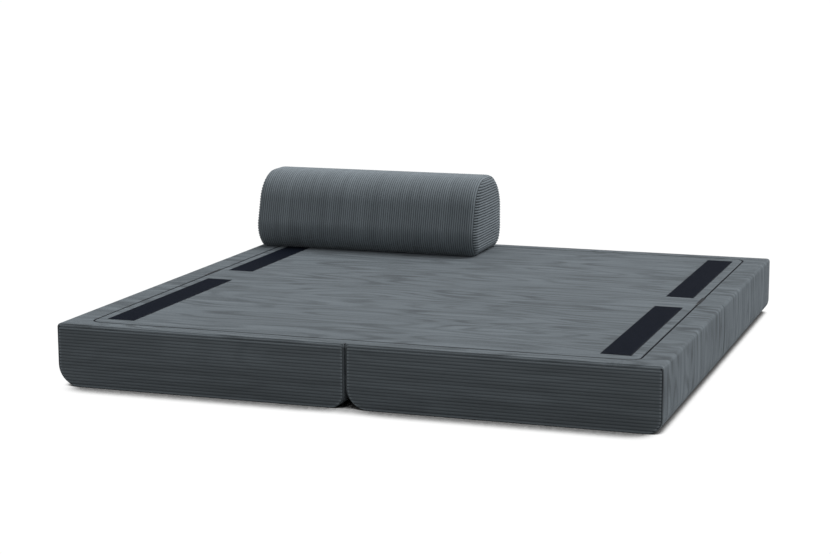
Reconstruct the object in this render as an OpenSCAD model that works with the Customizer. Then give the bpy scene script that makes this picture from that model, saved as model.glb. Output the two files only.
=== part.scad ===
// Folding futon sofa bed: two zip-covered foam blocks joined by a fabric fold, and a loose bolster.
// Origin at the middle of the underside. +X to the right, +Y to the back, +Z up.
// The right block folds over onto the left one about a line just above the top panel at x = 0.

/* [Bed] */
// Width with both blocks flat
bed_w = 2000; // [1800:10:2200]
// Depth from the front caps to the back caps
bed_d = 1960; // [1800:10:2100]
// Height of the top panel above the floor
bed_h = 208; // [190:1:240]

/* [Block shape] */
// Radius of the outer top edges
top_edge_r = 12; // [8:1:20]
// Radius of the top edges beside the fold
fold_edge_r = 5; // [4:1:8]
// Radius of both blocks' lower left edges, which run front to back
low_left_r = 74; // [40:1:90]
// Radius of both blocks' lower right edges
low_right_r = 50; // [30:1:90]
// Gap between the two blocks below the fold
fold_gap = 4; // [4:1:8]
// Height of the folding line above the top panel
fold_line_rise = 1.8; // [1.8:0.1:3]

/* [Cover] */
// Thickness of the corduroy cover, ribs included
cover_t = 2.5; // [2:0.1:4]
// Space between the cover and the inner liner
liner_gap = 1.3; // [1.2:0.1:2]
// Thickness of the knitted inner liner
liner_t = 0.8; // [0.6:0.1:1.5]
// Space between the liner and the foam
foam_gap = 0.3; // [0.3:0.1:1]
// Width of each leaf of the reinforcing tape under the fold
hinge_tape_w = 40; // [20:1:80]
// Thickness of the reinforcing tape
hinge_tape_t = 1; // [0.6:0.1:1]

/* [Grip strips] */
// Width of a hook or loop strip
strip_w = 96; // [60:1:120]
// Length of a strip
strip_l = 774; // [600:1:780]
// Thickness of a strip
strip_t = 1.5; // [1:0.1:1.5]
// Distance from a strip to the side of the bed
strip_side_inset = 124; // [110:1:200]
// Distance from a strip to the front or back of the bed
strip_end_inset = 116; // [90:1:130]

/* [Zips] */
// Width of the opening that a zip chain fills
zip_w = 8; // [8:1:12]
// Thickness of a zip chain
zip_t = 1.5; // [1:0.1:1.5]
// Distance from the perimeter zip to the side of the bed
zip_side_inset = 89; // [70:1:100]
// Distance from the perimeter zip to the front or back
zip_end_inset = 60; // [50:1:80]
// Radius of the zip line at the corners
zip_corner_r = 38; // [20:1:60]
// Length of the fabric tab that covers a parked slider's end
garage_l = 100; // [30:1:110]
// Width of that tab
garage_w = 13; // [11:1:16]
// Thickness of that tab
garage_t = 0.8; // [0.5:0.1:1]
// Length of a slider's body
slider_l = 13; // [10:1:16]
// Width of a slider's body
slider_w = 7; // [5:0.5:7]
// Length of the flat part of a slider's pull
pull_l = 24; // [15:1:35]

/* [Bolster] */
// Length of the bolster
bolster_l = 928; // [700:1:950]
// Depth of the bolster
bolster_d = 367; // [340:1:380]
// Height of the bolster
bolster_h = 296; // [280:1:320]
// Distance from the bolster to the left side of the bed
bolster_side_inset = 2; // [2:1:40]
// Distance from the bolster to the back of the bed
bolster_back_inset = 4; // [3:1:40]
// Radius of the bolster's upper front shoulder
bolster_front_r = 140; // [120:1:150]
// Angle by which the bolster's flat front leans back
bolster_lean = 16; // [8:1:18]
// Radius of the bolster's upper back shoulder
bolster_back_r = 140; // [100:1:150]
// Radius of the bolster's lower edges
bolster_low_r = 100; // [80:1:100]
// How far the flat base cuts into the round lower edges
bolster_cut = 18; // [5:1:25]
// Length of the zip in the back of the bolster
bolster_zip_l = 700; // [500:1:700]

/* [Hidden] */
$fn = 96;

// Colours
corduroy = [0.30, 0.33, 0.35];
dark_cloth = [0.09, 0.10, 0.12];
foam = [0.93, 0.89, 0.74];
liner_white = [0.88, 0.88, 0.86];
base_black = [0.12, 0.12, 0.13];
zip_grey = [0.16, 0.18, 0.20];
slider_metal = [0.32, 0.33, 0.35];

// A cutter reaches this far past what it cuts, and joined outlines lap by this much
over = 5;
lap = 1;
// Sides of each circle in the bolster's outline, which is a hull
bolster_sides = 48;
// Smallest radius of an inner corner
min_r = 1;
liner_inset = cover_t + liner_gap;
foam_inset = liner_inset + liner_t + foam_gap;
block_x0 = fold_gap / 2;
block_x1 = bed_w / 2;
// Lower edge radii of each block, beside the fold and at its outer side
right_low = [low_left_r, low_right_r];
left_low = [low_right_r, low_left_r];
inside_d = bed_d - 2 * cover_t;
skin_z = bed_h - cover_t;

// Perimeter zip line and its chain
zip_x = bed_w / 2 - zip_side_inset;
zip_y = bed_d / 2 - zip_end_inset;
slider_lift = 0.3;
slider_gap = 1;

// Slider details
slider_t = 1.2;
pull_t = 0.7;
pull_w = 5;
ring_r = 4;
ring_hole_r = 2.2;
bridge_w = 2;
bridge_l = 8;
bridge_h = 1;
bridge_wall = 1.2;
bridge_top = 0.2;
pull_lift = 0.05;

// Bolster place
bolster_x0 = bolster_side_inset - bed_w / 2;
bolster_x = bolster_x0 + bolster_l / 2;
bolster_y1 = bed_d / 2 - bolster_back_inset;
bolster_y0 = bolster_y1 - bolster_d;
bolster_z = bed_h + fold_line_rise;
bolster_zip_z = bolster_z + (bolster_h - bolster_back_r + bolster_low_r - bolster_cut) / 2;

// --- Shapes shared by the two blocks, drawn for the right one. low is the block's pair of lower edge radii ---

// Extrudes an outline drawn in X and Z along the depth of the bed
module along_depth(length) {
    rotate([90, 0, 0])
        linear_extrude(height = length, center = true)
            children();
}

// Cross-section of a block, drawn a set distance inside its outer surface
module block_outline(inset, low) {
    x0 = block_x0 + inset;
    x1 = block_x1 - inset;
    z1 = bed_h - inset;
    r0 = low[0] - inset;
    r1 = low[1] - inset;
    side_r = max(top_edge_r - inset, min_r);
    fold_r = max(fold_edge_r - inset, min_r);
    translate([x0 + r0, inset])
        square([x1 - x0 - r0 - r1, z1 - inset - side_r]);
    translate([x0, inset + r0])
        square([r0 + lap, z1 - inset - r0 - side_r]);
    translate([x1 - r1 - lap, inset + r1])
        square([r1 + lap, z1 - inset - r1 - side_r]);
    translate([x0, z1 - side_r])
        square([side_r, side_r - fold_r]);
    translate([x0 + fold_r, z1 - side_r])
        square([x1 - x0 - fold_r - side_r, side_r]);
    translate([x0 + fold_r, z1 - fold_r])
        circle(r = fold_r);
    translate([x1 - side_r, z1 - side_r])
        circle(r = side_r);
    translate([x0 + r0, inset + r0])
        circle(r = r0);
    translate([x1 - r1, inset + r1])
        circle(r = r1);
}

// Plan of the zip line on one block, grown outwards, closed just past the fold
module zip_plan(grow) {
    x1 = zip_x + grow;
    y1 = zip_y + grow;
    r = zip_corner_r + grow;
    translate([-over, -y1])
        square([over + x1 - r, 2 * y1]);
    translate([-over, r - y1])
        square([over + x1, 2 * (y1 - r)]);
    for (end = [-1, 1])
        translate([x1 - r, end * (y1 - r)])
            circle(r = r);
}

// Upright block over the zip line's plan, from a height up to past the top of the bed
module zip_prism(grow, z0) {
    translate([0, 0, z0])
        linear_extrude(height = bed_h + over - z0)
            zip_plan(grow);
}

// Box over the flat underside
module under_area(height, low) {
    x0 = block_x0 + low[0];
    translate([x0, -inside_d / 2, 0])
        cube([block_x1 - low[1] - x0, inside_d, height]);
}

module foam_core(low) {
    color(foam)
        along_depth(bed_d - 2 * foam_inset)
            block_outline(foam_inset, low);
}

// Sock around the foam, closed at the front and open at the back
module core_liner(low) {
    length = bed_d - 2 * liner_inset;
    color(liner_white)
        difference() {
            along_depth(length)
                block_outline(liner_inset, low);
            translate([0, liner_t, 0])
                along_depth(length)
                    block_outline(liner_inset + liner_t, low);
        }
}

// Sides, rounded lower edges and the border around the top panel
module cover_band(low) {
    color(corduroy)
        difference() {
            along_depth(inside_d)
                block_outline(0, low);
            along_depth(inside_d + over)
                block_outline(cover_t, low);
            zip_prism(zip_w / 2, skin_z);
            translate([0, 0, -over])
                under_area(over + cover_t, low);
        }
}

module end_cap(end, low) {
    color(corduroy)
        translate([0, end * (bed_d - cover_t) / 2, 0])
            along_depth(cover_t)
                block_outline(0, low);
}

// Flat panel underneath: non-slip cloth on the left block, and on the right one the seat of the folded sofa
module under_panel(cloth, low) {
    color(cloth)
        under_area(cover_t, low);
}

// This block's half of the one panel that bridges the fold
module top_panel(low) {
    color(corduroy)
        intersection() {
            along_depth(inside_d)
                block_outline(0, low);
            zip_prism(-zip_w / 2, skin_z);
        }
}

// One leaf of the tape sewn under the top panel along the fold
module hinge_tape() {
    x0 = block_x0 + cover_t + fold_edge_r;
    color(base_black)
        translate([x0, zip_w - zip_y, skin_z - hinge_tape_t])
            cube([hinge_tape_w, 2 * (zip_y - zip_w), hinge_tape_t]);
}

// Chain along three sides of the top panel, down in the gap around it
module zip_chain() {
    color(zip_grey)
        intersection() {
            translate([0, 0, skin_z])
                linear_extrude(height = zip_t)
                    difference() {
                        zip_plan(zip_w / 2);
                        zip_plan(-zip_w / 2);
                    }
            translate([block_x0, -bed_d / 2, 0])
                cube([bed_w / 2, bed_d, bed_h]);
        }
}

// Dark tab over the zip line at the middle of the side
module zip_garage() {
    color(zip_grey)
        translate([zip_x - garage_w / 2, 0, bed_h])
            cube([garage_w, garage_l, garage_t]);
}

// Hook or loop strip, sewn on the top panel towards the front or the back
module grip_strip(end) {
    x0 = bed_w / 2 - strip_side_inset - strip_w;
    y_mid = end * (bed_d / 2 - strip_end_inset - strip_l / 2);
    color(dark_cloth)
        translate([x0, y_mid - strip_l / 2, bed_h])
            cube([strip_w, strip_l, strip_t]);
}

// --- Zip slider, drawn flat: it travels along Y and its pull lies towards +Y ---

module slider_body() {
    color(slider_metal)
        union() {
            linear_extrude(height = slider_t) {
                translate([-slider_w / 2, slider_w / 2])
                    square([slider_w, slider_l - slider_w]);
                for (y = [slider_w / 2, slider_l - slider_w / 2])
                    translate([0, y])
                        circle(d = slider_w);
            }
            difference() {
                translate([-bridge_w / 2, (slider_l - bridge_l) / 2, slider_t])
                    cube([bridge_w, bridge_l, bridge_h]);
                translate([-bridge_w, (slider_l - bridge_l) / 2 + bridge_wall, slider_t])
                    cube([2 * bridge_w, bridge_l - 2 * bridge_wall, bridge_h - bridge_top]);
            }
        }
}

// Flat tab on a ring that passes under the slider's bridge
module slider_pull() {
    ring_y = slider_l / 2 + ring_r - (ring_r - ring_hole_r) / 2;
    color(slider_metal)
        translate([0, ring_y, slider_t + pull_lift])
            linear_extrude(height = pull_t)
                difference() {
                    union() {
                        circle(r = ring_r);
                        translate([-pull_w / 2, ring_hole_r])
                            square([pull_w, pull_l]);
                    }
                    circle(r = ring_hole_r);
                }
}

// Puts a slider's piece on the perimeter zip, parked in front of the garage with its pull forwards
module at_perimeter_zip() {
    translate([zip_x, -slider_gap, skin_z + zip_t + slider_lift])
        rotate([0, 0, 180])
            children();
}

// --- Bolster ---

// The bolster's whole cross-section in depth and height, with its base cut flat
module bolster_outline(inset) {
    low_z = bolster_low_r - bolster_cut;
    rise = bolster_h - bolster_front_r - low_z;
    lean_y = (bolster_front_r - bolster_low_r + rise * sin(bolster_lean)) / cos(bolster_lean);
    intersection() {
        hull() {
            translate([bolster_low_r + lean_y, bolster_h - bolster_front_r])
                circle(r = bolster_front_r - inset, $fn = bolster_sides);
            translate([bolster_d - bolster_back_r, bolster_h - bolster_back_r])
                circle(r = bolster_back_r - inset, $fn = bolster_sides);
            for (y = [bolster_low_r, bolster_d - bolster_low_r])
                translate([y, low_z])
                    circle(r = bolster_low_r - inset, $fn = bolster_sides);
        }
        translate([0, inset])
            square([bolster_d, bolster_h]);
    }
}

// Extrudes the bolster's outline along X, centred on a place
module along_bolster(x_mid, length, inset) {
    translate([x_mid, bolster_y0, bolster_z])
        rotate([90, 0, 90])
            linear_extrude(height = length, center = true)
                bolster_outline(inset);
}

module bolster_foam_core() {
    color(foam)
        along_bolster(bolster_x, bolster_l - 2 * foam_inset, foam_inset);
}

// Sock around the bolster's foam, closed at the left and open at the right
module bolster_core_liner() {
    length = bolster_l - 2 * liner_inset;
    color(liner_white)
        difference() {
            along_bolster(bolster_x, length, liner_inset);
            along_bolster(bolster_x + liner_t, length, liner_inset + liner_t);
        }
}

// Slot for the bolster's zip, cut inwards from the back face
module bolster_zip_bar(depth, y1) {
    translate([bolster_x - bolster_zip_l / 2, y1 - depth, bolster_zip_z - zip_w / 2])
        cube([bolster_zip_l, depth, zip_w]);
}

module bolster_sleeve() {
    length = bolster_l - 2 * cover_t;
    color(corduroy)
        difference() {
            along_bolster(bolster_x, length, 0);
            along_bolster(bolster_x, length + over, cover_t);
            bolster_zip_bar(cover_t + over, bolster_y1 + over);
        }
}

module bolster_cap(end) {
    color(corduroy)
        along_bolster(bolster_x + end * (bolster_l - cover_t) / 2, cover_t, 0);
}

module bolster_zip_chain() {
    color(zip_grey)
        bolster_zip_bar(zip_t, bolster_y1 - cover_t + zip_t);
}

// Puts a slider's piece at the right-hand end of the bolster's zip, with its pull to the left
module at_bolster_zip() {
    out_y = bolster_y1 - cover_t + zip_t + slider_lift;
    translate([bolster_x + bolster_zip_l / 2 - slider_gap, out_y, bolster_zip_z])
        rotate([-90, 0, 0])
            rotate([0, 0, 90])
                children();
}

// --- The left block is the right one mirrored, with its lower edge radii the other way round ---

module left() {
    mirror([1, 0, 0])
        children();
}

left() foam_core(left_low);  // left_foam_core
left() core_liner(left_low);  // left_core_liner
left() cover_band(left_low);  // left_cover_band
left() end_cap(-1, left_low);  // left_front_cap
left() end_cap(1, left_low);  // left_back_cap
left() under_panel(base_black, left_low);  // left_base_panel
left() top_panel(left_low);  // left_top_panel
left() hinge_tape();  // left_hinge_tape
left() zip_chain();  // left_zip_chain
left() zip_garage();  // left_zip_garage
left() grip_strip(-1);  // left_front_strip
left() grip_strip(1);  // left_back_strip
left() at_perimeter_zip() slider_body();  // left_slider_body
left() at_perimeter_zip() slider_pull();  // left_slider_pull
foam_core(right_low);  // right_foam_core
core_liner(right_low);  // right_core_liner
cover_band(right_low);  // right_cover_band
end_cap(-1, right_low);  // right_front_cap
end_cap(1, right_low);  // right_back_cap
under_panel(corduroy, right_low);  // right_seat_panel
top_panel(right_low);  // right_top_panel
hinge_tape();  // right_hinge_tape
zip_chain();  // right_zip_chain
zip_garage();  // right_zip_garage
grip_strip(-1);  // right_front_strip
grip_strip(1);  // right_back_strip
at_perimeter_zip() slider_body();  // right_slider_body
at_perimeter_zip() slider_pull();  // right_slider_pull
bolster_foam_core();
bolster_core_liner();
bolster_sleeve();
bolster_cap(-1);  // bolster_left_cap
bolster_cap(1);  // bolster_right_cap
bolster_zip_chain();
at_bolster_zip() slider_body();  // bolster_slider_body
at_bolster_zip() slider_pull();  // bolster_slider_pull
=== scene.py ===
"""Looks of the folding futon sofa bed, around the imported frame: corduroy covers, zips, strips and bolster."""
import math

import bpy
import numpy as np
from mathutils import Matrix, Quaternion, Vector


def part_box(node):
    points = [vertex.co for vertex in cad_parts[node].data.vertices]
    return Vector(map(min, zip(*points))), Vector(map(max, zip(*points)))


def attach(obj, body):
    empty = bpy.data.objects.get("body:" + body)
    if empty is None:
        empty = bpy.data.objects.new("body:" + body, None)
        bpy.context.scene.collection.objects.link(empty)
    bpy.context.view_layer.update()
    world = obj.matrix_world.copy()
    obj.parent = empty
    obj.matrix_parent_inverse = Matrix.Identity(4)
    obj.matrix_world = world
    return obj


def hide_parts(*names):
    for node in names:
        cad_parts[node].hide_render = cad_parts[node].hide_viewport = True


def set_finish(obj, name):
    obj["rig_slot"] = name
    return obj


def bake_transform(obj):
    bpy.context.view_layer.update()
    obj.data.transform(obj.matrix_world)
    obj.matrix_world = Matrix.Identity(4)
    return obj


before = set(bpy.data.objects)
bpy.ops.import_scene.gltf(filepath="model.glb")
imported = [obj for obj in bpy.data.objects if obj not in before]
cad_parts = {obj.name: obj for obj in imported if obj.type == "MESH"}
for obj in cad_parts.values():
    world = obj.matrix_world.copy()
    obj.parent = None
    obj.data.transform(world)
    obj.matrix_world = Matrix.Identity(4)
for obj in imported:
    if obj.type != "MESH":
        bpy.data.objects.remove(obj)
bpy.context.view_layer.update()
MM = 0.001


def corners(node):
    """The lowest and highest corner of a CAD node."""
    return tuple(np.array(corner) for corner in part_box(node))


# Places taken from the frame
band_lo, band_hi = corners("right_cover_band")
panel_hi = corners("right_top_panel")[1]
chain_lo, chain_hi = corners("right_zip_chain")
seat_lo, seat_hi = corners("right_seat_panel")
base_lo, base_hi = corners("left_base_panel")
SIDE_X = band_hi[0]
FOLD_X = band_lo[0]
TOP_Z = band_hi[2]
END_Y = corners("right_back_cap")[1][1]
ZIP_X = (panel_hi[0] + chain_hi[0]) / 2
ZIP_Y = (panel_hi[1] + chain_hi[1]) / 2
# Lower edge radii of each block, beside the fold and at its outer side
LOW = {
    "left": (-base_hi[0] - FOLD_X, SIDE_X + base_lo[0]),
    "right": (seat_lo[0] - FOLD_X, SIDE_X - seat_hi[0]),
}

# Shape of the covers, beyond what the frame's boxes say
TOP_R = 12 * MM  # outer top edges
ZIP_R = 38 * MM  # corners of the zip line
ZIP_GAP = 2.1 * MM  # half the gap between the lips over the zip
LIP_R = 4 * MM  # roll of a fabric edge into the zip's gap
ROLL_TOP = 10 * MM  # roll of the top border over the end caps
ROLL_SIDE = 4 * MM  # roll of the side walls into the end seams
SEAM = 0.6 * MM  # gap between two panels along a seam
CAP_LIP_R = 2.6 * MM  # roll of a cap's edge into its seam
CROWN = 2.2 * MM  # how far the foam pushes a cap or a side wall out
SEAM_DIP = 1.2 * MM  # how deep the seam across the bed's middle lies
SIDE_SEAM_DIP = 3.0 * MM  # and how much deeper it is on the side walls
FAR = 9  # metres, for a centre that lies beyond everything

# Corduroy
RIB = 10.4 * MM  # from one rib to the next
RIB_H = 1.7 * MM  # height of a rib
RIB_STEPS = 6  # mesh rows for each rib on the long panels
CAP_STEPS = 8  # and on the end caps and the bolster


# --- Small shape functions ---


def smooth(t):
    t = np.clip(t, 0, 1)
    return t * t * (3 - 2 * t)


def rolled(d, r):
    """How far a fabric edge rolled to radius r has dropped, at distance d inside it."""
    reach = np.clip(r - d, 0, r)
    return r - np.sqrt(r * r - reach * reach)


def hump(distance, width):
    """A smooth bell over distance, 1 at its middle. It has fallen to about a third at width."""
    return np.exp(-((distance / width) ** 2))


def pile_at(across):
    """Height of the ribs from 0 in a groove to 1 on a crest."""
    return 1 - np.abs(2 * np.mod(across / RIB, 1) - 1) ** 2.5


def inside_round_box(x, y, lo, hi, r):
    """Distance inside a rectangle whose corners are rounded to r. Outside it's negative."""
    mid = ((lo[0] + hi[0]) / 2, (lo[1] + hi[1]) / 2)
    qx = np.abs(x - mid[0]) - (hi[0] - lo[0]) / 2 + r
    qy = np.abs(y - mid[1]) - (hi[1] - lo[1]) / 2 + r
    outside = np.hypot(np.maximum(qx, 0), np.maximum(qy, 0))
    return r - np.minimum(np.maximum(qx, qy), 0) - outside


def wander(along, across, seed):
    """A slow smooth wave over a panel, from -1 to 1, the same on every run."""
    total = 0
    for turn in range(1, 5):
        angle = seed * 1.7 + turn * 2.4
        wave = along * math.cos(angle) + across * math.sin(angle)
        total = total + np.sin(wave * (5 + 4 * turn) + seed * turn)
    return total / 4


def facing(points, centre):
    """Unit normals of a grid of points, away from centre, and whether its faces have to be turned."""
    n = np.cross(np.gradient(points, axis=0), np.gradient(points, axis=1))
    n /= np.maximum(np.linalg.norm(n, axis=2, keepdims=True), 1e-15)
    turned = ((points - np.array(centre)) * n).sum() < 0
    return (-n if turned else n), turned


def faced(grid, centre):
    """The grid, turned if need be so that its faces look away from centre."""
    return grid[::-1] if facing(grid, centre)[1] else grid


def spread(x, y, z, shape):
    """Points of a grid from coordinates that are each constant along some of its directions."""
    return np.stack([np.broadcast_to(each, shape) for each in (x, y, z)], axis=2)


def lengths_along(line):
    """How far each point of a line is from its start, along the line."""
    return np.concatenate([[0], np.cumsum(np.linalg.norm(np.diff(line, axis=0), axis=1))])


def place_on(line, along, at):
    """Points at the lengths at along a line, whose own points are at the lengths along."""
    return np.stack([np.interp(at, along, line[:, k]) for k in range(line.shape[1])], axis=-1)


def rows_between(lo, hi, step, extra=()):
    """Rows at whole steps, so that grooves and crests fall on them, and extra rows for an edge."""
    grid = np.arange(math.ceil(lo / step), math.floor(hi / step) + 1) * step
    extra = np.array(sorted({lo, hi, *extra}))
    far = np.abs(grid[:, None] - extra[None, :]).min(axis=1) > 0.3 * step
    return np.sort(np.concatenate([grid[far], extra]))


def edge_rows(at, inward, reach):
    """Rows close to an edge, for its roll."""
    return [at + inward * reach * share for share in (0, 0.03, 0.12, 0.3, 0.6, 1)]


# --- Fabric grids ---

# Columns of a grid: 0 to 2 are the point, and then metres along and across the ribs, pile height, and how much
# the crests are lightened, by rubbing and by painted highlight
AWAY, PILE, WEAR_AND_HIGHLIGHT = 3, 5, 6


def fabric(points, along, across, centre, fade=1.0, wear_and_highlight=0.0, crown=0.0, height=RIB_H):
    """A ribbed grid whose crests lie on points, pushed out by crown. fade is how much of the ribs is left."""
    normal, turned = facing(points, centre)
    shape = points.shape[:2]
    pile = np.broadcast_to(pile_at(across), shape)
    lift = crown + height * (pile - 1) * fade - height * 0.35 * (1 - np.clip(fade, 0, 1))
    columns = [points + normal * np.broadcast_to(lift, shape)[..., None]]
    for channel in (along, across, pile * np.clip(fade, 0, 1), wear_and_highlight):
        columns.append(np.broadcast_to(channel, shape)[..., None])
    grid = np.concatenate(columns, axis=2)
    return grid[::-1] if turned else grid


def mirrored(grid, axis):
    """The grid on an axis's other side, its faces still outwards and its nap from elsewhere in the cloth."""
    copy = grid[::-1].copy()
    copy[..., axis] *= -1
    copy[..., AWAY] += 2.9 + axis
    return copy


def rim(grid):
    """The grid's edge points, all the way round."""
    return np.concatenate([grid[0, :-1], grid[:-1, -1], grid[-1, :0:-1], grid[:0:-1, 0], grid[:1, 0]])


def tucked(loop, *shifts):
    """The seam allowance that hangs from an edge, through each shift in turn. It lies in the groove."""
    rings = [loop]
    for shift in shifts:
        ring = loop.copy()
        ring[:, :3] += shift
        ring[:, PILE:PILE + 1] = 0
        rings.append(ring)
    return np.stack(rings)


def piece(name, grids, material, slot):
    """One mesh from grids. Points that coincide are welded, and quads that collapse become triangles."""
    points = np.concatenate([grid.reshape(-1, grid.shape[2]) for grid in grids])
    faces = []
    start = 0
    for grid in grids:
        index = start + np.arange(grid.shape[0] * grid.shape[1]).reshape(grid.shape[:2])
        quads = [index[:-1, :-1], index[1:, :-1], index[1:, 1:], index[:-1, 1:]]
        faces.append(np.stack(quads, axis=-1).reshape(-1, 4))
        start += index.size
    cell = np.round(points[:, :3] / (2e-3 * MM)).astype(np.int64)
    first, same = np.unique(cell, axis=0, return_index=True, return_inverse=True)[1:]
    faces = same.reshape(-1)[np.concatenate(faces)]
    points = points[first]
    keep = faces != np.roll(faces, 1, axis=1)
    keep[keep.sum(axis=1) < 3] = False
    totals = keep.sum(axis=1)
    totals = totals[totals > 0]

    mesh = bpy.data.meshes.new(name)
    mesh.vertices.add(len(points))
    mesh.vertices.foreach_set("co", points[:, :3].astype(np.float32).ravel())
    mesh.loops.add(int(totals.sum()))
    mesh.loops.foreach_set("vertex_index", faces[keep].astype(np.int32))
    mesh.polygons.add(len(totals))
    mesh.polygons.foreach_set("loop_start", (np.cumsum(totals) - totals).astype(np.int32))
    mesh.polygons.foreach_set("use_smooth", np.ones(len(totals), bool))
    mesh.update(calc_edges=True)
    mesh.validate()
    if points.shape[1] > 3:
        weave = np.zeros((len(points), 3), np.float32)
        weave[:, :2] = points[:, AWAY:PILE]
        mesh.attributes.new("weave", "FLOAT_VECTOR", "POINT").data.foreach_set("vector", weave.ravel())
        for name_of, channel in (("pile", PILE), ("wear_and_highlight", WEAR_AND_HIGHLIGHT)):
            layer = mesh.attributes.new(name_of, "FLOAT", "POINT")
            layer.data.foreach_set("value", points[:, channel].astype(np.float32))
    mesh.materials.append(material)
    obj = bpy.data.objects.new(name, mesh)
    bpy.context.scene.collection.objects.link(obj)
    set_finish(obj, slot)
    return obj


# --- Materials ---


class Nodes:
    """A short way to write a material's nodes."""

    def __init__(self, name):
        self.material = bpy.data.materials.new(name)
        self.material.use_nodes = True
        self.tree = self.material.node_tree
        self.shader = self.tree.nodes["Principled BSDF"]

    def add(self, kind, inputs=(), **settings):
        """A node of a kind. inputs are (socket, value or another node's output)."""
        node = self.tree.nodes.new("ShaderNode" + kind)
        for key, value in settings.items():
            setattr(node, key, value)
        for socket, value in inputs:
            self.put(node.inputs[socket], value)
        return node

    def put(self, socket, value):
        if isinstance(value, bpy.types.NodeSocket):
            self.tree.links.new(value, socket)
        else:
            socket.default_value = value

    def set(self, **values):
        """Sets the shader's own sockets, such as Roughness or Sheen_Weight."""
        for key, value in values.items():
            self.put(self.shader.inputs[key.replace("_", " ")], value)

    def attribute(self, name):
        return self.add("Attribute", attribute_name=name)

    def scaled(self, vector, scale):
        mapping = self.add("Mapping", [("Vector", vector), ("Scale", scale)])
        return mapping.outputs["Vector"]

    def noise(self, vector, scale, detail=2.0, roughness=0.5):
        inputs = [("Vector", vector), ("Scale", scale), ("Detail", detail), ("Roughness", roughness)]
        return self.add("TexNoise", inputs).outputs["Fac"]

    def ramp(self, value, lo, hi, to_lo=0.0, to_hi=1.0):
        inputs = [("Value", value), ("From Min", lo), ("From Max", hi), ("To Min", to_lo), ("To Max", to_hi)]
        return self.add("MapRange", inputs).outputs["Result"]

    def mix(self, share, a, b):
        node = self.add("Mix", data_type="RGBA", blend_type="MIX")
        for socket, value in ((0, share), (6, a), (7, b)):
            self.put(node.inputs[socket], value)
        return node.outputs[2]

    def math(self, operation, a, b=0.0):
        return self.add("Math", [(0, a), (1, b)], operation=operation).outputs[0]

    def bump(self, height, strength, distance, before=None):
        inputs = [("Height", height), ("Strength", strength), ("Distance", distance)]
        if before is not None:
            inputs.append(("Normal", before))
        return self.add("Bump", inputs).outputs["Normal"]


def grey(level, tint=(1.0, 1.0, 1.0)):
    return (level * tint[0], level * tint[1], level * tint[2], 1.0)


FIGURE_TURNS = 72.0  # how finely the streaks' noise is cut into contour lines
SLATE = (0.86, 1.0, 1.10)
NAVY = (0.80, 1.0, 1.42)
DEEP_NAVY = (0.66, 1.0, 1.9)


def corduroy(name, body_low, body_high, figure_share, groove_shade_share=0.62, groove_from=0.0, groove_to=0.75):
    """Slate corduroy: velvety ribs, grooves darkened by the ground weave and by painted shade, a nap that
    shades in long streaks, edges lightened by rubbing, and painted highlights on rib crests.
    """
    n = Nodes(name)
    weave = n.attribute("weave").outputs["Vector"]
    pile = n.attribute("pile").outputs["Fac"]
    wear_and_highlight = n.attribute("wear_and_highlight").outputs["Fac"]
    streak = n.noise(n.scaled(weave, (1.6, 30.0, 1.0)), 1.0, 3.0, 0.6)
    cloud = n.noise(weave, 4.5, 3.0, 0.55)
    contours = n.noise(n.scaled(weave, (1.1, 6.0, 1.0)), 1.0, 1.6, 0.45)
    figure = n.math("SINE", n.math("MULTIPLY", contours, FIGURE_TURNS))
    fibre = n.noise(n.scaled(weave, (900.0, 1500.0, 1.0)), 1.0, 2.0, 0.7)
    tuft = n.noise(n.scaled(weave, (260.0, 420.0, 1.0)), 1.0, 3.0, 0.6)
    body = n.mix(n.ramp(streak, 0.36, 0.64), grey(body_low, SLATE), grey(body_high, SLATE))
    lines = n.ramp(figure, -1.0, 0.1, figure_share, 0.0)
    figure_fades = n.math("MULTIPLY", lines, n.ramp(cloud, 0.38, 0.6, 0.35, 1.0))
    body = n.mix(figure_fades, body, grey(0.03, SLATE))
    body = n.mix(n.ramp(cloud, 0.3, 0.7), n.mix(0.12, body, grey(0.05, SLATE)), body)
    body = n.mix(n.ramp(fibre, 0.3, 0.7, 0.0, 0.16), body, grey(0.19, SLATE))
    # Grooves are darker: partly the ground weave's own colour, partly painted shade between the ribs.
    groove = n.mix(groove_shade_share, body, grey(0.012, SLATE))
    colour = n.mix(n.ramp(pile, groove_from, groove_to), groove, body)
    # Lightened rib crests: rubbed edges, and painted highlights where light would catch the crests along the
    # end caps' seams.
    rubbed_and_highlit = n.math("MULTIPLY", wear_and_highlight, n.ramp(pile, 0.3, 1.0))
    rubbed_and_highlit = n.math("MULTIPLY", rubbed_and_highlit, n.ramp(tuft, 0.35, 0.65, 0.2, 0.7))
    colour = n.mix(rubbed_and_highlit, colour, grey(0.2, SLATE))
    n.set(Base_Color=colour)
    n.set(Roughness=n.ramp(tuft, 0.3, 0.7, 0.82, 0.98))
    n.set(Specular_IOR_Level=0.18, Sheen_Weight=0.22, Sheen_Roughness=0.45)
    n.set(Sheen_Tint=(0.75, 0.85, 0.95, 1.0))
    pile_bump = n.bump(tuft, 0.55, 0.0006)
    n.set(Normal=n.bump(fibre, 0.4, 0.0003, pile_bump))
    return n.material


def object_space(n):
    return n.add("TexCoord").outputs["Object"]


def grip_tape():
    """Navy-black hook and loop tape: a fine row of hooks over a woven ground, with lint caught in places."""
    n = Nodes("grip_tape")
    place = object_space(n)
    hooks = n.add("TexVoronoi", [("Vector", place), ("Scale", 520.0)], feature="F1").outputs["Distance"]
    lint = n.noise(place, 60.0, 4.0, 0.7)
    ground = n.mix(n.ramp(hooks, 0.1, 0.7), grey(0.0085, DEEP_NAVY), grey(0.004, DEEP_NAVY))
    colour = n.mix(n.ramp(lint, 0.6, 0.8, 0.0, 0.06), ground, grey(0.05, SLATE))
    n.set(Base_Color=colour)
    n.set(Roughness=n.ramp(hooks, 0.1, 0.8, 0.85, 1.0))
    n.set(Specular_IOR_Level=0.04)
    n.set(Normal=n.bump(hooks, 0.6, 0.0005))
    return n.material


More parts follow.
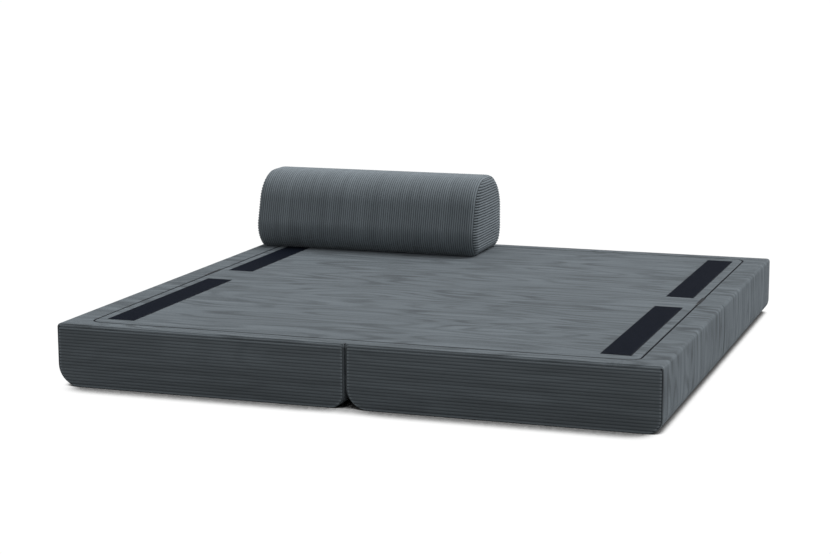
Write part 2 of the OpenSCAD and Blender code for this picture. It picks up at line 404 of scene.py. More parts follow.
def woven(name, dark, light, threads, roughness, sheen=0.1):
    """Plain weave: two crossed sets of threads."""
    n = Nodes(name)
    place = object_space(n)
    warp = n.add("TexWave", [("Vector", place), ("Scale", threads), ("Distortion", 0.4)], bands_direction="X")
    weft = n.add("TexWave", [("Vector", place), ("Scale", threads), ("Distortion", 0.4)], bands_direction="Y")
    crossed = n.math("MULTIPLY", warp.outputs["Fac"], weft.outputs["Fac"])
    mottle = n.noise(place, 14.0, 3.0)
    cloth = n.mix(n.ramp(crossed, 0.05, 0.6), dark, light)
    n.set(Base_Color=n.mix(n.ramp(mottle, 0.35, 0.7, 0.0, 0.3), cloth, dark))
    n.set(Roughness=n.ramp(mottle, 0.3, 0.7, roughness - 0.08, roughness + 0.05))
    n.set(Specular_IOR_Level=0.2, Sheen_Weight=sheen)
    n.set(Normal=n.bump(crossed, 0.5, 0.0004))
    return n.material


def moulded(name, dark, light, roughness, shine=0.4):
    """Moulded nylon or rubber: a fine grain, and colour that isn't quite even."""
    n = Nodes(name)
    place = object_space(n)
    grain = n.noise(place, 1400.0, 2.0, 0.6)
    cloud = n.noise(place, 30.0, 3.0)
    n.set(Base_Color=n.mix(n.ramp(cloud, 0.3, 0.7), dark, light))
    n.set(Roughness=n.ramp(grain, 0.3, 0.7, roughness - 0.1, roughness + 0.1))
    n.set(Specular_IOR_Level=shine)
    n.set(Normal=n.bump(grain, 0.3, 0.0001))
    return n.material


def enamel():
    """Dark gunmetal enamel on cast zinc, worn to bare metal in small patches."""
    n = Nodes("slider_enamel")
    place = object_space(n)
    worn = n.ramp(n.noise(place, 420.0, 4.0, 0.65), 0.58, 0.7)
    scuff = n.noise(n.scaled(place, (200.0, 1800.0, 200.0)), 1.0, 2.0)
    n.set(Base_Color=n.mix(worn, grey(0.008, NAVY), grey(0.04)))
    n.set(Roughness=n.ramp(scuff, 0.3, 0.7, 0.35, 0.6))
    n.set(Metallic=0.3, Specular_IOR_Level=0.15)
    n.set(Normal=n.bump(scuff, 0.15, 0.0001))
    return n.material


def foam():
    """Cut polyurethane foam: open cells, yellowed a little in patches."""
    n = Nodes("foam")
    place = object_space(n)
    cells = n.add("TexVoronoi", [("Vector", place), ("Scale", 700.0)]).outputs["Distance"]
    patch = n.noise(place, 6.0, 3.0)
    cut = n.mix(n.ramp(patch, 0.35, 0.7), (0.80, 0.74, 0.52, 1.0), (0.70, 0.58, 0.33, 1.0))
    n.set(Base_Color=n.mix(n.ramp(cells, 0.2, 0.8), cut, (0.45, 0.37, 0.22, 1.0)))
    n.set(Roughness=0.95, Specular_IOR_Level=0.1)
    n.set(Normal=n.bump(cells, 0.7, 0.0008))
    return n.material


# --- Stage: floor, light and camera ---

# The contact shadow is the darkest of three terms. Each has a reach, and a ramp: the openness at which it's
# darkest, the openness at which it ends, and how much white is left where it's darkest
CONTACT_REACH = 40 * MM
CONTACT_RAMP = (0.22, 0.62, 0.14)
FRONT_REACH = 130 * MM  # this term looks towards the back only, so that it darkens the floor in front
FRONT_RAMP = (0.0, 0.68, 0.04)
TUNNEL_REACH = 100 * MM  # for the narrow spaces under the round edges
TUNNEL_RAMP = (0.20, 0.48, 0.0)
FLOOR_SEEN = 1.02  # what the camera sees of the floor
FLOOR_LIT = 0.30  # what lights the object from below
FLOOR_REACH = 60.0
WORLD_STRENGTH = 0.55
KEY_STRENGTH = 3.2
KEY_FROM = (0.50, 0.24, 0.83)
KEY_SPREAD = 42
BACK_STRENGTH = 0.6
BACK_FROM = (-0.15, 0.75, 0.65)
BACK_SPREAD = 40
CAMERA_AT = (2.131, -6.467, 1.4875)
CAMERA_AZIMUTH = math.radians(19.08)
CAMERA_ELEVATION = math.radians(10.32)
CAMERA_ROLL = math.radians(-0.15)
CAMERA_LENS = 84.58


def stage_floor():
    """The floor. The camera sees white with a soft contact shadow, and the object is lit by a dim grey."""
    n = Nodes("floor")
    path = n.add("LightPath").outputs["Is Camera Ray"]
    above = n.add("AmbientOcclusion", [("Distance", CONTACT_REACH)], samples=16).outputs["AO"]
    between = n.add("AmbientOcclusion", [("Distance", TUNNEL_REACH)], samples=8).outputs["AO"]
    backwards = n.add("CombineXYZ", [("Y", 1.0)]).outputs["Vector"]
    facing_back = [("Distance", FRONT_REACH), ("Normal", backwards)]
    behind = n.add("AmbientOcclusion", facing_back, samples=32).outputs["AO"]
    away = n.math("SQRT", n.math("MAXIMUM", n.math("SUBTRACT", n.math("MULTIPLY", behind, 2.0), 1.0), 0.0))
    soft = []
    for value, (lo, hi, darkest) in ((above, CONTACT_RAMP), (away, FRONT_RAMP), (between, TUNNEL_RAMP)):
        ends = [("Value", value), ("From Min", lo), ("From Max", hi), ("To Min", darkest)]
        soft.append(n.add("MapRange", ends, interpolation_type="SMOOTHSTEP").outputs["Result"])
    contact = n.math("MINIMUM", n.math("MINIMUM", soft[0], soft[1]), soft[2])
    seen = n.add("Emission", [("Color", grey(FLOOR_SEEN)), ("Strength", contact)])
    mottle = n.noise(object_space(n), 3.0, 2.0)
    lit = n.add("BsdfDiffuse", [("Color", n.mix(mottle, grey(FLOOR_LIT * 0.97), grey(FLOOR_LIT)))])
    both = n.add("MixShader", [("Fac", path), (1, lit.outputs["BSDF"]), (2, seen.outputs["Emission"])])
    n.set(Base_Color=grey(0.3))
    n.put(n.tree.nodes["Material Output"].inputs["Surface"], both.outputs["Shader"])
    return n.material


def make_camera():
    data = bpy.data.cameras.new("camera")
    data.sensor_width = 36.0
    data.lens = CAMERA_LENS
    camera = bpy.data.objects.new("camera", data)
    flat = math.cos(CAMERA_ELEVATION)
    back = (
        math.sin(CAMERA_AZIMUTH) * flat,
        -math.cos(CAMERA_AZIMUTH) * flat,
        math.sin(CAMERA_ELEVATION),
    )
    camera.location = CAMERA_AT
    camera.rotation_mode = "QUATERNION"
    camera.rotation_quaternion = (-Vector(back)).to_track_quat("-Z", "Y") @ Quaternion((0, 0, 1), CAMERA_ROLL)
    bpy.context.scene.collection.objects.link(camera)
    bpy.context.scene.camera = camera


def make_light(name, toward, strength, spread):
    """A soft light from far away. toward is the way that it comes from."""
    data = bpy.data.lights.new(name, "SUN")
    data.energy = strength
    data.angle = math.radians(spread)
    light = bpy.data.objects.new(name, data)
    light.rotation_mode = "QUATERNION"
    light.rotation_quaternion = Vector(toward).to_track_quat("Z", "Y")
    bpy.context.scene.collection.objects.link(light)


def make_stage():
    across = np.linspace(-FLOOR_REACH, FLOOR_REACH, 5)
    grid = np.zeros((5, 5, 3))
    grid[..., 0] = across[:, None]
    grid[..., 1] = across[None, :]
    floor = piece("floor", [grid], stage_floor(), "corduroy")
    del floor["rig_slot"]  # the floor isn't part of the object
    world = bpy.data.worlds.new("studio")
    world.use_nodes = True
    world.node_tree.nodes["Background"].inputs["Color"].default_value = (1.0, 1.0, 1.0, 1.0)
    world.node_tree.nodes["Background"].inputs["Strength"].default_value = WORLD_STRENGTH
    scene = bpy.context.scene
    scene.world = world
    scene.view_settings.view_transform = "Standard"
    scene.view_settings.look = "None"
    make_light("key", KEY_FROM, KEY_STRENGTH, KEY_SPREAD)
    make_light("back", BACK_FROM, BACK_STRENGTH, BACK_SPREAD)


# --- The two blocks' covers ---

FAR_BLOCK = (SIDE_X / 2, 0.0, TOP_Z / 2)
STEP = RIB / RIB_STEPS
ARC_X = ZIP_X - ZIP_R
ARC_Y = ZIP_Y - ZIP_R
FOLD_HALF = FOLD_X  # the fabric between the blocks turns within this distance of the fold
FOLD_COLUMNS = np.array([0, 0.25, 0.5, 0.75, 1]) * FOLD_HALF
LIP_COLUMNS = np.array([0, 0.12, 0.5, 1.2, 2.4, 4, 6, 9, 14]) * MM  # from the zip's edge, closest on its roll
LIP_TUCK = ((0, 0, -1 * MM), (0, 0, -4 * MM))
END_ROWS = 12  # rows of an end zone: its roll, and 2 for the seam allowance


def zip_outline(x, y, grow):
    """Distance inside the zip's line, grown by a distance. It's negative outside."""
    lo = (-ZIP_X - grow, -ZIP_Y - grow)
    return inside_round_box(x, y, lo, (-lo[0], -lo[1]), ZIP_R + grow)


def zip_half_width(y, grow):
    """How far from the middle the zip's line is, at a depth y."""
    into = np.clip(np.abs(y) - ARC_Y, 0, ZIP_R + grow)
    return ARC_X + np.sqrt(np.maximum((ZIP_R + grow) ** 2 - into ** 2, 0))


def depth_seam(across, half_width=1.6 * MM):
    """The seam across the middle of the bed, which interrupts the ribs: 1 on it and 0 away from it."""
    return hump(across, half_width)


def make_top_panel(material):
    """The one ribbed panel inside the zip, continuous over the fold."""
    edge = ZIP_Y - ZIP_GAP
    extra = edge_rows(edge, -1, LIP_R)
    rows = rows_between(-edge, edge, STEP, [*extra, *(-y for y in extra)])
    half = zip_half_width(rows, -ZIP_GAP)
    near_edge = np.append(LIP_COLUMNS, [24 * MM, 40 * MM])
    inner = np.concatenate([FOLD_COLUMNS, np.array([4, 8, 16]) * MM])
    middle = np.linspace(0, 1, 15)[1:-1]
    reach = half[:, None] - near_edge[-1]
    right = np.concatenate([
        np.broadcast_to(inner, (len(rows), len(inner))),
        inner[-1] + (reach - inner[-1]) * middle,
        half[:, None] - near_edge[::-1],
    ], axis=1)
    x = np.concatenate([-right[:, :0:-1], right], axis=1)
    y = np.broadcast_to(rows[:, None], x.shape)
    d = zip_outline(x, y, -ZIP_GAP)
    z = TOP_Z - rolled(d, LIP_R) - 0.3 * MM * (1 + wander(x, y, 1.0)) * smooth(np.abs(x) / 0.05)
    seam = depth_seam(y)
    fade = smooth(d / LIP_R) * (1 - seam)
    points = np.stack([x, y, z], axis=2)
    wear_and_highlight = 0.5 * hump(d, 7 * MM)
    grid = fabric(points, x, y, (0, 0, 0), fade, wear_and_highlight, crown=-SEAM_DIP * seam)
    skirt = tucked(rim(grid), *LIP_TUCK)
    panel = piece("top_panel", [grid, skirt], material, "corduroy")
    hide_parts("left_top_panel", "right_top_panel")
    return panel


def end_zone(x, z, nx, nz, roll):
    """The last rows of a wall or border: it turns over the back end's edge and tucks into the seam.
    Each column has its own place, outward normal and radius of roll. Gives points, metres across and fade."""
    start = END_Y - ROLL_TOP
    flat = ROLL_TOP - roll
    length = flat + roll * math.pi / 2
    u = np.linspace(0, 1, END_ROWS - 1)[1:, None] * length
    turn = np.clip((u - flat) / roll, 0, math.pi / 2)
    y = np.where(u < flat, start + u, END_Y - roll + roll * np.sin(turn))
    drop = roll * (1 - np.cos(turn))
    y = np.concatenate([y, np.full((1, len(x)), END_Y - 1.5 * MM), np.full((1, len(x)), END_Y - 4 * MM)])
    drop = np.concatenate([drop, [roll + 3 * MM], [roll + 8 * MM]])
    u = np.concatenate([u, u[-1:] + 3 * MM, u[-1:] + 6 * MM])
    points = np.stack([x - nx * drop, y, z - nz * drop], axis=2)
    fade = smooth((length - u) / (3 * MM))
    wide = 0.75 * smooth((roll - ROLL_SIDE) / (ROLL_TOP - ROLL_SIDE))
    fade = np.maximum(fade, np.where(u < length + MM, wide, 0))
    return points, start + u, fade


def with_ends(points, across, fade, columns):
    """Adds both end zones to the rows of a swept grid."""
    end, end_across, end_fade = end_zone(*columns)
    front = end[::-1].copy()
    front[..., 1] *= -1
    points = np.concatenate([front, points, end])
    across = np.concatenate([-end_across[::-1], across, end_across])
    fade = np.concatenate([end_fade[::-1], fade, end_fade])
    return points, across, fade


def lower_arc(wall_x, side, r, count):
    """The round lower edge of a block, from its wall to its underside. side is the way the wall faces."""
    angle = np.linspace(0, math.pi / 2, count)
    nx, nz = side * np.cos(angle), -np.sin(angle)
    return wall_x + r * (nx - side), r + r * nz, nx, nz


def along_of(points):
    """Metres along the ribs, down each row from its first point."""
    step = np.linalg.norm(np.diff(points, axis=1), axis=2)
    return np.concatenate([np.zeros((len(points), 1)), np.cumsum(step, axis=1)], axis=1)


def side_grid(rows, low_r):
    """Right side of the cover band: border, side wall, round lower edge, and the seam underneath."""
    start = zip_half_width(rows, ZIP_GAP)
    flat_end = SIDE_X - TOP_R
    near = start[:, None] + LIP_COLUMNS
    rest = near[:, -1:] + (flat_end - near[:, -1:]) * np.linspace(0, 1, 6)[1:]
    top_x = np.concatenate([near, rest], axis=1)
    count = top_x.shape[1]
    turn = np.linspace(0, math.pi / 2, 7)[1:]
    wall_z = np.linspace(TOP_Z - TOP_R, low_r, 9)[1:]
    low = lower_arc(SIDE_X, 1, low_r, 13)
    tuck_x = low[0][-1] - np.array([1.5, 4.0]) * MM
    x = np.concatenate([flat_end + TOP_R * np.sin(turn), np.full(8, SIDE_X), low[0][1:], tuck_x])
    z = np.concatenate([TOP_Z - TOP_R + TOP_R * np.cos(turn), wall_z, low[1][1:], [3 * MM, 7 * MM]])
    nx = np.concatenate([np.sin(turn), np.ones(8), low[2][1:], [0, 0]])
    nz = np.concatenate([np.cos(turn), np.zeros(8), low[3][1:], [-1, -1]])
    x = np.concatenate([top_x, np.broadcast_to(x, (len(rows), len(x)))], axis=1)
    z = np.concatenate([np.full(count, TOP_Z), z])
    nx = np.concatenate([np.zeros(count), nx])
    nz = np.concatenate([np.ones(count), nz])
    points = spread(x, rows[:, None], z, x.shape)
    roll = ROLL_TOP + (ROLL_SIDE - ROLL_TOP) * smooth(nx)
    roll[z < low_r] = ROLL_SIDE
    across = np.broadcast_to(rows[:, None], x.shape)
    points, across, fade = with_ends(points, across, np.ones(x.shape), (x[-1], z, nx, nz, roll))
    return finish_band(points, across, fade)


def finish_band(points, across, fade):
    """Rolls the zip's lip, and gives the band its ribs, crown and wear."""
    x, y, z = points[..., 0], points[..., 1], points[..., 2]
    d = -zip_outline(x, y, ZIP_GAP)
    on_top = z > TOP_Z - 0.1 * MM
    points[..., 2] -= np.where(on_top, rolled(np.maximum(d, 0), LIP_R), 0)
    on_side = smooth((np.abs(x) - SIDE_X + TOP_R) / TOP_R)
    seam = depth_seam(y, (1.6 + 3.4 * on_side) * MM)
    fade = fade * np.where(on_top, smooth(d / LIP_R), 1) * (1 - seam)
    fade = fade * smooth((z - 0.5 * MM) / (3 * MM))
    height = np.clip((z - 20 * MM) / (TOP_Z - 30 * MM), 0, 1)
    bulge = np.sin(math.pi * height) * smooth((np.abs(x) - SIDE_X + 30 * MM) / (30 * MM))
    bulge = bulge * smooth((END_Y - np.abs(y)) / (60 * MM)) * (1 + 0.35 * wander(y, z, 2.0))
    wear_and_highlight = 0.6 * hump(z - TOP_Z + TOP_R / 3, 6 * MM) * on_side
    wear_and_highlight = wear_and_highlight + 0.4 * hump(END_Y - np.abs(y), 6 * MM)
    crown = CROWN * bulge - (SEAM_DIP + SIDE_SEAM_DIP * on_side) * seam
    return fabric(points, along_of(points), across, FAR_BLOCK, fade, wear_and_highlight, crown)


def border_columns(half):
    """Columns over a front or back border, dense at the fold."""
    inner = np.concatenate([FOLD_COLUMNS, np.array([4, 6, 9, 13, 20, 35, 60]) * MM])
    outer = np.linspace(inner[-1], half, 18)[1:]
    right = np.concatenate([inner, outer])
    return np.concatenate([-right[:0:-1], right])


def border_grids(rows):
    """The border behind the zip: a flat part over both blocks, and one rolled end for each block."""
    x = border_columns(ARC_X)
    shape = (len(rows), len(x))
    points = spread(x, rows[:, None], TOP_Z, shape)
    flat = finish_border(points, points[..., 1], np.ones(shape))
    grids = [flat]
    for keep in (x >= FOLD_HALF - 1e-9, x <= 1e-9 - FOLD_HALF):
        columns = x[keep]
        ones = np.ones(len(columns))
        end, across, fade = end_zone(columns, TOP_Z * ones, 0 * ones, ones, ROLL_TOP * ones)
        near = hump(np.abs(end[..., 0]) - FOLD_HALF, 7 * MM)
        into = np.linspace(0, 1, len(end))[:, None]
        end[..., 2] -= 4 * MM * near * into
        end[..., 1] -= 2 * MM * near * into
        first = points[-1:, keep]
        end = np.concatenate([first, end])
        across = np.concatenate([first[..., 1], np.broadcast_to(across, end[1:, :, 0].shape)])
        fade = np.concatenate([np.ones((1, len(columns))), np.broadcast_to(fade, end[1:, :, 0].shape)])
        grids.append(finish_border(end, across, fade))
    return grids


def finish_border(points, across, fade):
    y = points[..., 1]
    d = y - ZIP_Y - ZIP_GAP
    points = points.copy()
    points[..., 2] -= rolled(np.maximum(d, 0), LIP_R)
    wear_and_highlight = 0.5 * hump(END_Y - y, 7 * MM)
    return fabric(points, points[..., 0], across, (0, 0, -FAR), fade * smooth(d / LIP_R), wear_and_highlight)


def make_cover_band(material):
    """Border, side walls and round lower edges: one piece of fabric over both blocks."""
    lip = ZIP_Y + ZIP_GAP
    extra = [*edge_rows(lip, -1, LIP_R), *edge_rows(lip, 1, LIP_R)]
    stop = END_Y - ROLL_TOP
    rows = rows_between(-stop, stop, STEP, [*extra, *(-y for y in extra)])
    right = side_grid(rows, LOW["right"][1])
    left = mirrored(side_grid(rows, LOW["left"][1]), 0)
    back = border_grids(rows[rows > lip - 1e-9])
    front = [mirrored(grid, 1) for grid in back]
    grids = [right, left, *back, *front]
    # fabric may have turned a grid, so that rows and columns are put in order before their edges are joined
    on_lip = np.abs(rows) < lip + 1e-9
    edge = right[END_ROWS:END_ROWS + len(rows)]
    if edge[0, 0, 1] > edge[-1, 0, 1]:
        edge = edge[::-1]
    edge = edge[on_lip]
    inner = edge[:, 0] if abs(edge[0, 0, 2] - TOP_Z) < 2 * LIP_R else edge[:, -1]
    across_back = back[0][0] if abs(back[0][0, 0, 1] - lip) < MM else back[0][-1]
    other = inner[::-1].copy()
    other[:, 0] *= -1
    if across_back[0, 0] < 0:
        across_back = across_back[::-1]
    across_front = across_back[::-1].copy()
    across_front[:, 1] *= -1
    loop = np.concatenate([inner, across_back[1:-1], other, across_front[1:-1], inner[:1]])
    grids.append(tucked(loop, *LIP_TUCK))
    band = piece("cover_band", grids, material, "corduroy")
    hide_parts("left_cover_band", "right_cover_band")
    return band


def fold_wall_grid(low_r):
    """A block's wall inside the fold, with the round lower edge below it, drawn for the right block."""
    stop = END_Y - ROLL_TOP
    rows = rows_between(-stop, stop, STEP)
    low = lower_arc(FOLD_X, -1, low_r, 13)
    top_x = FOLD_X + np.array([2.6, 1.0, 0.2]) * MM
    top_z = TOP_Z - np.array([3.2, 4.2, 6.0]) * MM
    wall_z = np.linspace(TOP_Z - 12 * MM, low_r, 9)
    x = np.concatenate([top_x, np.full(9, FOLD_X), low[0][1:], low[0][-1:] + np.array([1.5, 4.0]) * MM])
    z = np.concatenate([top_z, wall_z, low[1][1:], [3 * MM, 7 * MM]])
    nx = np.concatenate([np.full(12, -1.0), low[2][1:], [0, 0]])
    nz = np.concatenate([np.zeros(12), low[3][1:], [-1, -1]])
    shape = (len(rows), len(x))
    y = np.broadcast_to(rows[:, None], shape)
    points = spread(x, y, z, shape)
    roll = np.full(len(x), ROLL_SIDE)
    points, across, fade = with_ends(points, y, np.ones(shape), (x, z, nx, nz, roll))
    rise = np.clip(points[..., 2] - (TOP_Z - ROLL_TOP), 0, ROLL_TOP)
    limit = END_Y - ROLL_TOP + np.sqrt(ROLL_TOP ** 2 - rise ** 2) - 0.6 * MM
    points[..., 1] = np.clip(points[..., 1], -limit, limit)
    fade = fade * smooth((points[..., 2] - 0.5 * MM) / (3 * MM)) * (1 - depth_seam(across))
    return fabric(points, along_of(points), across, FAR_BLOCK, fade)


CAP_X0 = FOLD_X + ROLL_SIDE + SEAM
CAP_X1 = SIDE_X - ROLL_SIDE - SEAM
CAP_Z1 = TOP_Z - ROLL_TOP - SEAM


def cap_grid(low):
    """A back end cap, drawn for the right block: level ribs, a crown, and an edge rolled into the seam."""
    corner_r = 7 * MM
    extra = [*edge_rows(0.0, 1, CAP_LIP_R), *edge_rows(CAP_Z1, -1, CAP_LIP_R)]
    z = rows_between(0.0, CAP_Z1, RIB / CAP_STEPS, extra)
    above = np.clip(z - CAP_Z1 + corner_r, 0, corner_r)
    upper_pull = corner_r - np.sqrt(corner_r ** 2 - above ** 2)
    radii = [r - ROLL_SIDE - SEAM for r in low]
    pulls = [upper_pull + r - np.sqrt(r ** 2 - np.clip(r - z, 0, r) ** 2) for r in radii]
    x0, x1 = CAP_X0 + pulls[0], CAP_X1 - pulls[1]
    near = np.array([0, 0.12, 0.5, 1.2, 2.2, 3.2, 4.5, 6, 8, 11, 16, 26, 45]) * MM
    middle = np.linspace(0, 1, 22)[1:-1]
    left, right = x0[:, None] + near, x1[:, None] - near[::-1]
    x = np.concatenate([left, left[:, -1:] + (right[:, :1] - left[:, -1:]) * middle, right], axis=1)
    z = np.broadcast_to(z[:, None], x.shape)
    lo, hi = (CAP_X0, 0.0), (CAP_X1, CAP_Z1)
    lower_r = np.where(x < (CAP_X0 + CAP_X1) / 2, *radii)
    d = inside_round_box(x, z, lo, hi, np.where(z < CAP_Z1 / 2, lower_r, corner_r))
    d = np.maximum(d, 0)
    y = END_Y - rolled(d, CAP_LIP_R) + CROWN * smooth(d / (70 * MM)) * (1 + 0.3 * wander(x, z, 4.0))
    gather = 1 + 0.55 * hump(d - 3.6 * MM, 1.6 * MM)
    fade = smooth(d / (2.6 * MM)) * gather
    at_top = 0.75 * hump(CAP_Z1 - z, 5 * MM) * smooth((x - x0[:, None]) / (9 * MM))
    fade = np.maximum(fade, at_top)
    # Painted highlight: the rib crests next to the seam are lightened where light would catch them.
    wear_and_highlight = 1.5 * hump(d - 4 * MM, 3 * MM)
    points = np.stack([x, y, z], axis=2)
    return fabric(points, x, z, (SIDE_X / 2, 0, TOP_Z / 2), fade, wear_and_highlight)


def make_end_caps(material):
    """Four end caps, each with its seam allowance."""
    caps = []
    for side in ("left", "right"):
        back = cap_grid(LOW[side])
        inward = [back, tucked(rim(back), (0, -2 * MM, 0), (0, -9 * MM, 0))]
        for end in ("front", "back"):
            grids = inward
            if side == "left":
                grids = [mirrored(grid, 0) for grid in grids]
            if end == "front":
                grids = [mirrored(grid, 1) for grid in grids]
            name = f"{side}_{end}_cap"
            cap = piece(f"{name}_cover", grids, material, "corduroy")
            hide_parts(name)
            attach(cap, f"{side}_block")
            caps.append(cap)
    return caps


def make_fold_walls(material):
    walls = []
    for side in ("left", "right"):
        grid = fold_wall_grid(LOW[side][0])
        if side == "left":
            grid = mirrored(grid, 0)
        wall = piece(f"{side}_fold_wall", [grid], material, "corduroy")
        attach(wall, f"{side}_block")
        walls.append(wall)
    return walls


def make_seat_panel(material):
    """The ribbed panel under the right block, which is the seat when the sofa is folded."""
    x0, x1 = seat_lo[0] + SEAM, seat_hi[0] - SEAM
    edge = seat_hi[1] - SEAM
    extra = edge_rows(edge, -1, CAP_LIP_R)
    rows = rows_between(-edge, edge, STEP, [*extra, *(-y for y in extra)])
    near = np.array([0, 0.12, 0.5, 1.2, 2.2, 3.2, 5, 9, 16, 30]) * MM
    middle = x0 + near[-1] + (x1 - x0 - 2 * near[-1]) * np.linspace(0, 1, 16)[1:-1]
    columns = np.concatenate([x0 + near, middle, x1 - near[::-1]])
    x = np.broadcast_to(columns, (len(rows), len(columns)))
    y = np.broadcast_to(rows[:, None], x.shape)
    d = np.maximum(inside_round_box(x, y, (x0, -edge), (x1, edge), CAP_LIP_R), 0)
    seam = depth_seam(y)
    fade = smooth(d / CAP_LIP_R) * (1 - seam)
    points = np.stack([x, y, rolled(d, CAP_LIP_R)], axis=2)
    grid = fabric(points, x, y, (SIDE_X / 2, 0, FAR), fade, crown=-SEAM_DIP * seam)
    seat = piece("seat_panel_cover", [grid, tucked(rim(grid), (0, 0, 3 * MM))], material, "corduroy")
    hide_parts("right_seat_panel")
    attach(seat, "right_block")
    return seat


def dome(ring_radii, heights, sides):
    """A small round bump, as rings of points around the origin, closed at its top."""
    angle = np.linspace(0, 2 * math.pi, sides + 1)
    angle[-1] = 0
    ring = np.stack([np.cos(angle), np.sin(angle)], axis=1)
    rings = [np.column_stack([ring * r, np.full(sides + 1, h)]) for r, h in zip(ring_radii, heights)]
    return np.stack(rings)


def make_base_cloth(material):
    """Non-slip cloth under the left block: a flat sheet with a staggered field of rubber dots."""
    lo, hi = base_lo, base_hi
    x = np.linspace(lo[0] + SEAM, hi[0] - SEAM, 24)
    y = np.linspace(lo[1] + SEAM, hi[1] - SEAM, 60)
    dot_h = 0.9 * MM
    sheet = np.zeros((len(x), len(y), 3))
    sheet[..., 0] = x[:, None]
    sheet[..., 1] = y[None, :]
    sheet[..., 2] = dot_h
    sheet = faced(sheet, (lo[0], 0, FAR))
    pitch = 20 * MM
    dot = dome((3.2 * MM, 2.9 * MM, 1.6 * MM, 0), (dot_h, 0.25 * MM, 0, 0), 8)
    grids = [sheet]
    grids.append(tucked(rim(sheet), (0, 0, 4 * MM)))
    for i, at_x in enumerate(np.arange(lo[0] + pitch, hi[0] - pitch / 2, pitch)):
        for at_y in np.arange(lo[1] + pitch * (1 + i % 2 / 2), hi[1] - pitch / 2, pitch):
            grids.append(dot[:, ::-1] + np.array([at_x, at_y, 0]))
    cloth = piece("base_cloth", grids, material, "base_cloth")
    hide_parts("left_base_panel")
    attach(cloth, "left_block")
    return cloth


# --- Zips, strips and trim ---

STITCH_SHARE = 0.78  # length of a stitch, as a share of the pitch
STITCH_WIDTH = 0.9 * MM
STITCH_HEIGHT = 0.45 * MM
TAPE_NAP = 0.75 * MM  # how far the hooks and loops stand up from a grip strip's tape
HOOK_PITCH = (3.2 * MM, 3.6 * MM)
STRIP_SEWN_IN = 2.2 * MM  # from a strip's edge to its line of stitches


def stitch_grid(at, along, up, length):
    """One thread stitch lying on a surface, tapering into the cloth at both ends."""
    side = np.cross(up, along)
    share = np.linspace(-1, 1, 5)
    round_turn = np.linspace(0, math.pi, 4)
    body = np.sqrt(np.maximum(1 - share ** 2, 0))
    offset = along * (share[:, None, None] * length / 2)
    offset = offset + side * (np.cos(round_turn)[None, :, None] * body[:, None, None] * STITCH_WIDTH / 2)
    return at + offset + up * (np.sin(round_turn)[None, :, None] * body[:, None, None] * STITCH_HEIGHT)


def stitches(line, up, pitch=4.5 * MM):
    """Stitches end to end along a line of points."""
    along = lengths_along(line)
    grids = []
    for at in np.arange(pitch / 2, along[-1], pitch):
        start, stop = (place_on(line, along, at + way * pitch * STITCH_SHARE / 2) for way in (-1, 1))
        length = np.linalg.norm(stop - start)
        if length > 1e-6:
            middle = (start + stop) / 2
            grids.append(stitch_grid(middle, (stop - start) / length, np.array(up), length))
    return grids


def chain_grid(line, across, up, width, low, high):
    """A coil zip's chain along a line: flat tape at both sides, and two rows of interlocked teeth."""
    along = lengths_along(line)
    tooth = 3.2 * MM
    count = int(along[-1] / tooth) * 4
    at = np.linspace(0, along[-1], count + 1)
    centre = place_on(line, along, at)
    side = place_on(across, along, at)
    side /= np.linalg.norm(side, axis=1, keepdims=True)
    share = np.array([-1, -0.5, -0.46, -0.12, 0.12, 0.46, 0.5, 1])
    body = np.array([0.0, 0.0, 0.7, 1.0, 1.0, 0.7, 0.0, 0.0])
    beat = 0.5 + 0.5 * np.cos(2 * math.pi * np.arange(count + 1) / 4)
    lean = np.where(share < 0, beat[:, None], 1 - beat[:, None])
    height = low + (high - low) * body * (0.45 + 0.55 * lean)
    flat = centre[:, None] + side[:, None] * (share * width / 2)[None, :, None]
    return flat + np.array(up) * height[..., None]


def zip_line():
    """The middle of the perimeter zip, all the way round, with the way across it at each point."""
    turn = np.linspace(0, math.pi / 2, 13)
    corner = np.stack([ARC_X + ZIP_R * np.cos(turn), ARC_Y + ZIP_R * np.sin(turn)], axis=1)
    way = np.stack([np.cos(turn), np.sin(turn)], axis=1)
    fold = np.array([[x, ZIP_Y] for x in np.linspace(FOLD_HALF, -FOLD_HALF, 9)])
    back = np.concatenate([corner, fold, corner[::-1] * (-1, 1)])
    outward = np.concatenate([way, np.tile([0.0, 1.0], (9, 1)), way[::-1] * (-1, 1)])
    line = np.concatenate([back, back * (-1, -1), back[:1]])
    across = np.concatenate([outward, outward * (-1, -1), outward[:1]])
    flat = np.zeros((len(line), 1))
    return np.hstack([line, flat]), np.hstack([across, flat])


def make_perimeter_zip(material):
    line, across = zip_line()
    low, high = chain_lo[2], chain_hi[2]
    grid = chain_grid(line, across, (0, 0, 1), chain_hi[0] - panel_hi[0], low, high)
    chain = piece("perimeter_zip", [faced(grid, (0, 0, -FAR))], material, "zip_tape")
    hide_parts("left_zip_chain", "right_zip_chain")
    return chain


